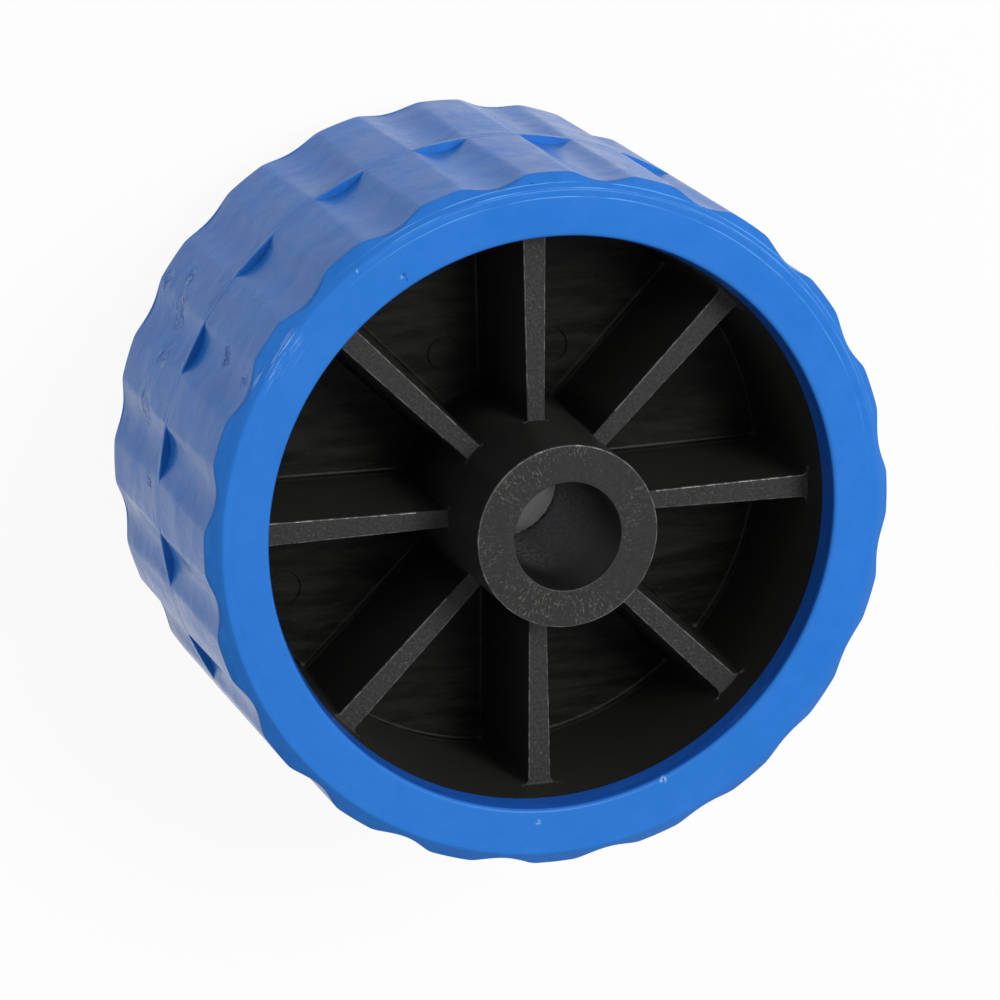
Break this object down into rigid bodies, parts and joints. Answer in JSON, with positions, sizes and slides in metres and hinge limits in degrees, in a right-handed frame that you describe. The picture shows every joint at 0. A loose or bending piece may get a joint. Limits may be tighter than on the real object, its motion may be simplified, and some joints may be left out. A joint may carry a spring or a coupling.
{
  "type": "boat trailer roller",
  "caption": "Boat trailer roller: a rubber tyre with two tracks of lugs moulded round a ribbed plastic hub, which turns on a spindle through its bore.",
  "frame": {"origin": "centre of the lower boss's end face, on the bore's axis, where the roller stands", "axes": "+Z along the bore, from the boss it stands on to the other one; +X along one of the ribs, which is also the middle of a lug on the upper track"},
  "size_m": [0.13, 0.13, 0.0892],
  "materials": {
    "hub_plastic": "black moulded plastic, satin, with light scuffs and flow marks on its end faces",
    "tyre_rubber": "blue moulded rubber, smooth and matt, a little glossier on the tread"
  },
  "bodies": {
    "root": {"hub": "hub_plastic", "tyre": "tyre_rubber"}
  },
  "joints": []
}
